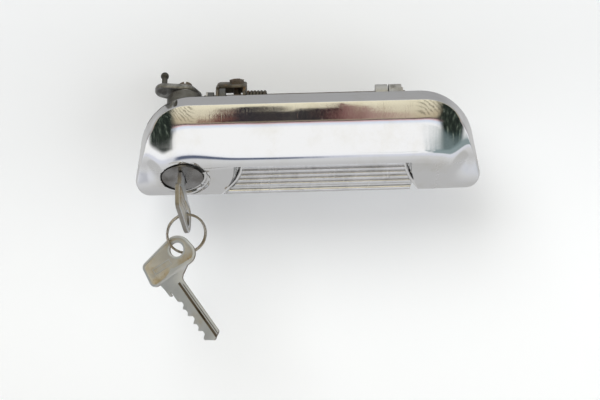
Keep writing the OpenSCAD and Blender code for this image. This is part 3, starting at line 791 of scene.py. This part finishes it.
def blade_outline():
    """The blade and its shoulder, with the cuts as rounded valleys on the left edge."""
    left = []
    y = -1.6
    while y < BLADE_LEN - 3:
        depth = 0.0
        for i, deep in enumerate(CUTS):
            off = abs(y - (CUT_FIRST + i * CUT_PITCH))
            depth = max(depth, deep * (1 - smooth(0.6, 1.8 + deep * 0.45, off)))
        left.append((BLADE_X[0] + depth, y))
        y += 0.15
    shoulder = [(-7, -9), (-6.6, -6.6), (-6.3, -4.4), (-6.15, -0.4), (-5.8, 0), (-5.1, 0), (-4.9, -0.3),
                (-4.9, -1.6)]
    tip = [(BLADE_X[0], BLADE_LEN - 3), (-0.6, BLADE_LEN - 0.15), (0, BLADE_LEN), (0.6, BLADE_LEN - 0.2),
           (BLADE_X[1] - 0.4, BLADE_LEN - 2), (BLADE_X[1], BLADE_LEN - 2.7)]
    fillet = [(BLADE_X[1], -3.0), (4.7, -4.2), (5.9, -5.3), (15, -10)]
    return shoulder + left + tip + fillet


def key_finish(at, flat):
    """Which finish a face of a key has: plain, brassy sunk field, dark groove, rusty cut or side in painted
    shade.
    """
    sunk = KEY_T / 2 - abs(at.z) > 0.12
    if at.y < -5 and sunk and flat > 0.8:
        return 1
    if at.y > -3.5 and sunk and 1.0 < at.x < 3.5:
        return 2
    if flat < 0.3:
        # Rusty cut edges; the other side faces are darker as painted shade
        return 3 if at.y > 3 and at.x < 0 else 4
    return 0


def make_key(name, matrix):
    half = KEY_T / 2
    hole = ring_outline(*HOLE, HOLE_R)[::-1]
    bow = plate("bow", [hull_outline(BOW), hole], -half, half, None, 0.35)
    blade = plate("blade", [blade_outline()], -half + 0.05, half - 0.05, None, 0.12)
    key = join(bow, blade)
    for side in (-1, 1):
        at = side * half
        for (x0, x1), start, depth in GROOVES:
            cut(key, box("groove", (x0, start, at - depth), (x1, BLADE_LEN + 4, at + depth)))
        # The bow's face is sunk inside a border that also goes round the hole
        outlines = [hull_outline(grown(BOW, -BORDER)), ring_outline(*HOLE, HOLE_R + HOLE_BORDER)[::-1]]
        field = plate("field", outlines, at - FIELD_DEPTH, at + FIELD_DEPTH, None, 0.04)
        cut(field, plate("neck", [NECK], -3, 3))
        cut(key, field)
        low, high = sorted((at - side * BARS_FROM, at - side * BARS_TO))
        join(key, plate("bars", BARS, low, high))
    key.name = name
    set_materials(key, KEY_METAL, KEY_FIELD, KEY_GROOVE, KEY_EDGE, KEY_SIDE_SHADE_AND_RUST)
    for face in key.data.polygons:
        face.material_index = key_finish(face.center / MM, abs(face.normal.z))
    key.data.transform(matrix)
    return shade(key, 38)


LOCK_TURNED = lock_matrix(LOCK_LEAN)
door_key = make_key("key_in_lock", LOCK_TURNED @ moved(0, 0, KEY_STOP) @ ALONG_X)
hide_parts("door_key")
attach(door_key, "inserted_key")

RING_R, WIRE_R = 9.85, 0.6
RING_SIDE = Vector((-0.53, 0, -0.848))        # from the ring's centre to the spare key's hole
HANG, RING_TURN, SPARE_TURN, SPARE_LEAN = 33.0, -20.0, 15.0, 36.0      # degrees
RING_CENTRE = Vector((0, 1.08, 2.4 - RING_R))
SPARE_HOLE = RING_CENTRE + RING_SIDE * (RING_R - 0.45)
HUNG = (
    LOCK_TURNED
    @ moved(0, HOLE[0], KEY_STOP + HOLE[1])
    @ turned(LOCK_LEAN, "Z")
    @ turned(HANG, "X")
)


def make_ring():
    """A split ring: one wire wound twice, that steps from one turn to the other at its ends."""
    steps, start, overlap = 240, 188.0, 14.0
    path = []
    for i in range(steps + 1):
        a = mix(0.0, 720.0 - overlap, i / steps)
        side = mix(-WIRE_R, WIRE_R, smooth(330 - overlap, 390 - overlap, a))
        theta = math.radians(start + a)
        path.append((RING_R * math.cos(theta), RING_R * math.sin(theta), side))
    place = (
        HUNG
        @ moved(*RING_CENTRE)
        @ turned(RING_TURN, RING_SIDE)
        @ turned(90, "X")
    )
    ring = sweep("split_ring", path, WIRE_R, 20, place, (0, 0, 1))
    set_materials(ring, RING_METAL)
    return shade(ring, 50)


ring = make_ring()
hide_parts("key_ring")
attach(ring, "ring")

spare = make_key(
    "spare_key_piece",
    HUNG
    @ moved(*SPARE_HOLE)
    @ turned(SPARE_TURN, RING_SIDE)
    @ turned(-SPARE_LEAN, "Y")
    @ turned(-90, "X")
    @ moved(-HOLE[0], -HOLE[1], 0),
)
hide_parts("spare_key")
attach(spare, "spare")


# ---------------------------------------------------------------- lock lever, release lever and spring
LEVER_S = (53.0, 56.5)           # where the lever starts and ends along the lock
LEVER_BALL, BALL_SHANK_R = (-10.8, -3.1), 1.45
LEVER_SHAPE = [(0, 0, 6.5), (*LEVER_BALL, 4.8), (5, 2.5, 3.6)]
DISH_AT, DISH = (-6.6, -1.2), [(0, 55.9), (2.2, 56.0), (3.6, 57.5), (0, 57.5)]
TAIL = 3.53                      # half the width of the square hole


def make_lock_lever():
    """A cast lever with rounded edges, a square hole for the plug's tail and a hole for the ball stud."""
    matrix = lock_matrix()
    lever = plate("cast_lever", [hull_outline(LEVER_SHAPE)], *LEVER_S, matrix, 1.1)
    cut(lever, cylinder("hole", BALL_SHANK_R, 50, 60, matrix @ moved(*LEVER_BALL, 0), 48))
    cut(lever, lathe("dish", DISH, matrix @ moved(*DISH_AT, 0), 48))
    cut(lever, box("tail", (-TAIL, -TAIL, 50), (TAIL, TAIL, 60), LOCK_TURNED))
    lever.name = "cast_lever"
    set_materials(lever, LEVER_CAST)
    return shade(lever, 35)


LEVER_X, LEVER_T = (-46.3, -30.9), 1.5
LEVER_FRONT, LEVER_BACK, LEVER_TOP = 16.8, 32.0, 29.2
EAR_R, EAR_DOWN = 5.4, 6.0
ADJUST, ADJUST_R = (-36.0, 24.5), 2.0  # the adjusting screw's hole, in (x, y)


def make_release_lever():
    """Folded from sheet: two ears on the pin, a plate over them and a turned-down end."""
    low = LEVER_TOP - EAR_DOWN
    lever = bevelled(box("fold", (LEVER_X[0], LEVER_FRONT, low), (LEVER_X[1], LEVER_BACK, LEVER_TOP)), 1.3)
    inner = bevelled(box("inner", (LEVER_X[0] + LEVER_T, LEVER_FRONT - 5, low - 9),
                         (LEVER_X[1] - LEVER_T, LEVER_BACK - LEVER_T, LEVER_TOP - LEVER_T)), 0.5)
    cut(lever, inner)
    back, top = LEVER_BACK - 0.3, LEVER_TOP - 0.3
    ear = [(PIN_Y, top), (back - 1.3, top), (back, top - 1.3), (back, 24.2), (18, 19.6),
           (PIN_Y, PIN_Z - EAR_R)]
    for x0 in (LEVER_X[0], LEVER_X[1] - LEVER_T):
        side = plate("ear", [ring_outline(PIN_Y, PIN_Z, EAR_R, 72)], x0, x0 + LEVER_T, ALONG_X, 0.2)
        join(side, plate("web", [ear], x0 + 0.02, x0 + LEVER_T - 0.02, ALONG_X, 0.2))
        join(lever, side)
    cut(lever, cylinder("pin_bore", PIN_R + PIN_PLAY, -LONG, LONG, ON_PIN, 64))
    cut(lever, cylinder("hole", ADJUST_R, 20, 40, moved(*ADJUST, 0), 48))
    lever.name = "folded_lever"
    set_materials(lever, SHEET_METAL)
    return shade(lever, 35)


COIL_R, COIL_WIRE, COIL_X, COIL_PITCH = 3.6, 0.84, -29.9, 1.72
COIL_START, COIL_SWEEP, COIL_STEP = 137.0, 2042.0, 6.0      # degrees
SPRING_HOOK = [(-14.4, -0.8), (-14.5, 1.4), (-13.6, 2.9), (-11.5, 3.6)]


def coil_point(a):
    angle = math.radians(COIL_START - a)
    return Vector((COIL_X + COIL_PITCH * a / 360, PIN_Y + COIL_R * math.cos(angle),
                   PIN_Z + COIL_R * math.sin(angle)))


def make_spring():
    """Hook over the flap, leg, close coils round the pin, and a leg to the casting."""
    hook = [Vector((COIL_X, y, z)) for y, z in SPRING_HOOK]
    rough = [hook[0]] + hook + [coil_point(0), coil_point(15)]
    path, parts = [], 8
    # A smooth curve through the rough points
    for p0, p1, p2, p3 in zip(rough, rough[1:], rough[2:], rough[3:]):
        for i in range(parts):
            t = i / parts
            path.append(0.5 * (2 * p1 + (p2 - p0) * t + (2 * p0 - 5 * p1 + 4 * p2 - p3) * t ** 2
                               + (3 * p1 - p0 - 3 * p2 + p3) * t ** 3))
    steps = int(COIL_SWEEP / COIL_STEP)
    path += [coil_point(COIL_SWEEP * i / steps) for i in range(steps + 1)]
    end = math.radians(COIL_START - COIL_SWEEP)
    leg = Vector((0, math.sin(end), -math.cos(end)))
    path += [coil_point(COIL_SWEEP) + leg * reach for reach in (1, 3, 5, 7, 9, 11, 13)]
    spring = sweep("coil_spring", path, COIL_WIRE, 16)
    set_materials(spring, SPRING_METAL)
    return shade(spring, 50)


lock_lever = make_lock_lever()
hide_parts("lock_lever")
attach(lock_lever, "lock")

release_lever = make_release_lever()
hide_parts("release_lever")
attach(release_lever, "flap")

spring = make_spring()
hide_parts("torsion_spring")
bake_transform(spring)


# ---------------------------------------------------------------- CAD nodes that keep their shape
for name, material in NODE_MATERIALS.items():
    set_materials(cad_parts[name], material)


# ---------------------------------------------------------------- stage, light and camera
CAM_EL, CAM_ROLL, CAM_DIST = 12.0, 1.5, 0.65       # degrees above level, degrees of tilt, metres
CAM_LENS, CAM_SENSOR = 76.0, 36.0
ORIGIN_AT = (-3.59, -28.97)      # the picture's middle, right of and above the origin, in millimetres
PAPER_Y, PAPER_HALF = 0.045, 1.2


def make_camera():
    el, roll = math.radians(CAM_EL), math.radians(CAM_ROLL)
    forward = Vector((0, math.cos(el), -math.sin(el)))
    level, upright = Vector((1, 0, 0)), Vector((0, math.sin(el), math.cos(el)))
    right = math.cos(roll) * level - math.sin(roll) * upright
    up = math.sin(roll) * level + math.cos(roll) * upright
    place = (ORIGIN_AT[0] * right + ORIGIN_AT[1] * up) * MM - forward * CAM_DIST
    data = bpy.data.cameras.new("camera")
    data.lens = CAM_LENS
    data.sensor_width = CAM_SENSOR
    cam = bpy.data.objects.new("camera", data)
    cam.matrix_world = Matrix((right, up, -forward)).transposed().to_4x4()
    cam.location = place
    bpy.context.scene.collection.objects.link(cam)
    bpy.context.scene.camera = cam


def ramp(tree, value, stops):
    made = node(tree, "ShaderNodeValToRGB", {"Fac": value})
    made.color_ramp.interpolation = "EASE"
    elements = made.color_ramp.elements
    elements[0].position, elements[0].color = stops[0][0], (*stops[0][1], 1)
    elements[1].position, elements[1].color = stops[-1][0], (*stops[-1][1], 1)
    for at, colour in stops[1:-1]:
        elements.new(at).color = (*colour, 1)
    return made.outputs["Color"]


# What the chrome reflects, as (height, colour): 0 is straight down, 0.5 level and 1 straight up
FRONT_ROOM = [
    (0.0, (0.56, 0.56, 0.565)), (0.16, (0.66, 0.665, 0.67)), (0.27, (0.72, 0.74, 0.82)),
    (0.34, (0.97, 0.98, 1.0)), (0.43, (1.0, 1.0, 1.0)), (0.47, (0.75, 0.82, 0.95)),
    (0.487, (0.75, 0.5, 0.5)), (0.5, (0.1, 0.07, 0.07)), (0.53, (0.55, 0.47, 0.33)),
    (0.62, (0.72, 0.66, 0.5)), (0.7, (0.85, 0.79, 0.6)), (0.78, (1.25, 1.15, 0.85)),
    (1.0, (0.8, 0.8, 0.78)),
]
BACK_ROOM = [
    (0.0, (0.5, 0.5, 0.5)), (0.45, (0.55, 0.55, 0.55)), (0.6, (0.36, 0.36, 0.365)),
    (0.75, (0.4, 0.4, 0.4)), (1.0, (0.8, 0.8, 0.78)),
]
# Leaves, as (noise value, colour)
LEAVES = [
    (0.0, (0.012, 0.015, 0.013)), (0.5, (0.018, 0.024, 0.02)), (0.58, (0.05, 0.066, 0.05)),
    (0.66, (0.25, 0.29, 0.24)), (0.74, (0.85, 0.87, 0.85)), (1.0, (0.95, 0.95, 0.95)),
]
# The figures' tops and colours by place, from left to right: 0.5 is straight ahead
FIGURE_TOPS = [
    (0.1, 0.02), (0.21, 0.25), (0.245, 0.6), (0.29, 0.7), (0.435, 0.7), (0.455, 0.45), (0.48, 0.48),
    (0.53, 0.56), (0.6, 0.52), (0.62, 0.76), (0.7, 0.64), (0.8, 0.3), (0.88, 0.02),
]
FIGURE_TONES = [
    (0.2, (0.3, 0.2, 0.15)), (0.235, (0.16, 0.06, 0.05)), (0.3, (0.03, 0.028, 0.034)),
    (0.44, (0.035, 0.032, 0.035)), (0.48, (0.07, 0.065, 0.06)), (0.55, (0.02, 0.022, 0.026)),
    (0.61, (0.04, 0.02, 0.02)), (0.645, (0.2, 0.09, 0.085)), (0.73, (0.36, 0.23, 0.2)),
    (0.86, (0.6, 0.5, 0.4)),
]
WALL_LINES, BLUE_EDGE, TEAL = (0.16, 0.14, 0.1), (0.04, 0.06, 0.12), (0.09, 0.17, 0.18)
BACKGROUND = (0.86, 0.86, 0.86)  # what the camera itself sees round the paper


def make_world():
    """A soft room. In front of the handle there is pale paper below, then dark figures against a cream wall
    with green beyond them at both sides. Behind it the room is mid grey."""
    world = bpy.data.worlds.new("studio")
    bpy.context.scene.world = world
    world.use_nodes = True
    tree = world.node_tree
    ray = node(tree, "ShaderNodeTexCoord").outputs["Generated"]
    x, y, z = node(tree, "ShaderNodeSeparateXYZ", {0: ray}).outputs
    height = times(tree, plus(tree, z, 1.0), 0.5)
    # How far to the side a ray goes for each metre forward or back, and a slow unevenness
    turn = math_node(tree, "DIVIDE", x, math_node(tree, "MAXIMUM", math_node(tree, "ABSOLUTE", y), 0.05))
    outward = math_node(tree, "ABSOLUTE", turn)
    wobble = math_node(tree, "SUBTRACT", noise(tree, ray, 14.0, 4.0, 0.6), 0.5)
    front = ramp(tree, height, FRONT_ROOM)
    # Thin wavy lines on the wall
    bent = plus(tree, turn, times(tree, z, 0.9), times(tree, wobble, 0.12))
    stripes = math_node(tree, "SINE", times(tree, bent, 75.0))
    lines = times(tree, rise(tree, stripes, 0.35, 0.9), rise(tree, outward, 0.08, 0.14),
                  rise(tree, z, 0.04, 0.12))
    front = blend_colours(tree, times(tree, lines, 0.75), front, WALL_LINES)
    # Dark leaves further out
    side = plus(tree, outward, times(tree, wobble, 0.25))
    garden = times(tree, rise(tree, side, 0.36, 0.6), rise(tree, z, -0.24, -0.14), rise(tree, z, 0.75, 0.6),
                   rise(tree, side, 1.9, 1.5))
    leaves = ramp(tree, noise(tree, ray, 22.0, 6.0, 0.7), LEAVES)
    front = blend_colours(tree, garden, front, leaves)
    # The figures
    along = plus(tree, times(tree, turn, 4.0), 0.5, times(tree, wobble, 0.08))
    top = ramp(tree, along, [(at, (tall,) * 3) for at, tall in FIGURE_TOPS])
    level = plus(tree, times(tree, z, 1.9), times(tree, wobble, 0.2))
    below_top = math_node(tree, "SUBTRACT", top, level)
    figure = times(tree, rise(tree, below_top, -0.02, 0.03), rise(tree, z, 0.03, 0.06))
    front = blend_colours(tree, figure, front, ramp(tree, along, FIGURE_TONES))
    # A dark blue edge of the paper, low on the left
    low = times(tree, rise(tree, z, -0.62, -0.52), rise(tree, z, -0.4, -0.46),
                rise(tree, turn, 0.06, -0.03), rise(tree, turn, -0.42, -0.3))
    front = blend_colours(tree, times(tree, low, 0.9), front, BLUE_EDGE)
    # Something teal beside the paper, on the right
    beside = plus(tree, turn, times(tree, wobble, 0.9))
    teal = times(tree, rise(tree, z, -0.42, -0.34), rise(tree, z, -0.12, -0.2),
                 rise(tree, beside, 0.12, 0.42))
    front = blend_colours(tree, times(tree, teal, 0.8), front, TEAL)
    room = blend_colours(tree, rise(tree, y, -0.1, 0.1), front, ramp(tree, height, BACK_ROOM))
    from_camera = node(tree, "ShaderNodeLightPath").outputs["Is Camera Ray"]
    seen = blend_colours(tree, from_camera, room, BACKGROUND)
    tree.links.new(seen, tree.nodes["Background"].inputs["Color"])


def make_paper():
    """A sheet of pale paper behind the handle, which can't be seen from behind."""
    corners = [(x * PAPER_HALF, PAPER_Y, z * PAPER_HALF) for x, z in ((-1, -1), (1, -1), (1, 1), (-1, 1))]
    paper = new_object("paper", corners, [(0, 1, 2, 3)], None, 1.0)
    if paper.data.polygons[0].normal.y > 0:
        paper.data.flip_normals()
    mat = bpy.data.materials.new("paper")
    mat.use_nodes = True
    tree = mat.node_tree
    shader = tree.nodes["Principled BSDF"]
    where = node(tree, "ShaderNodeTexCoord").outputs["Object"]
    # The paper is painted darker at the top and lighter at the bottom: a painted fall-off of light
    painted_falloff = rise(tree, node(tree, "ShaderNodeSeparateXYZ", {0: where}).outputs[2], 0.06, -0.12)
    falloff_tone = blend_colours(tree, painted_falloff, (0.82, 0.83, 0.85), (0.96, 0.97, 0.985))
    grain = node(tree, "ShaderNodeBump", {"Height": noise(tree, where, 1500.0), "Strength": 0.06,
                                          "Distance": 0.0002})
    tree.links.new(falloff_tone, shader.inputs["Base Color"])
    tree.links.new(grain.outputs[0], shader.inputs["Normal"])
    shader.inputs["Roughness"].default_value = 0.85
    away = node(tree, "ShaderNodeNewGeometry").outputs["Backfacing"]
    clear = node(tree, "ShaderNodeBsdfTransparent")
    either = node(tree, "ShaderNodeMixShader", {0: away, 1: shader.outputs[0], 2: clear.outputs[0]})
    tree.links.new(either.outputs[0], tree.nodes["Material Output"].inputs["Surface"])
    paper.data.materials.append(mat)
    paper.visible_glossy = False


def make_light(name, place, target, size, power, colour=(0.96, 0.98, 1.0)):
    data = bpy.data.lights.new(name, "AREA")
    data.size, data.energy, data.color = size, power, colour
    lamp = bpy.data.objects.new(name, data)
    lamp.location = place
    lamp.rotation_mode = "QUATERNION"
    lamp.rotation_quaternion = (Vector(target) - Vector(place)).to_track_quat("-Z", "Y")
    lamp.visible_glossy = False
    bpy.context.scene.collection.objects.link(lamp)


make_camera()
make_world()
make_paper()
make_light("softbox", (-0.35, -0.8, 0.75), (0, 0, -0.03), size=0.7, power=7.4)
make_light("fill", (0.7, -0.7, -0.1), (0, 0, -0.03), size=0.8, power=3.6)
bpy.context.scene.view_settings.view_transform = "Standard"
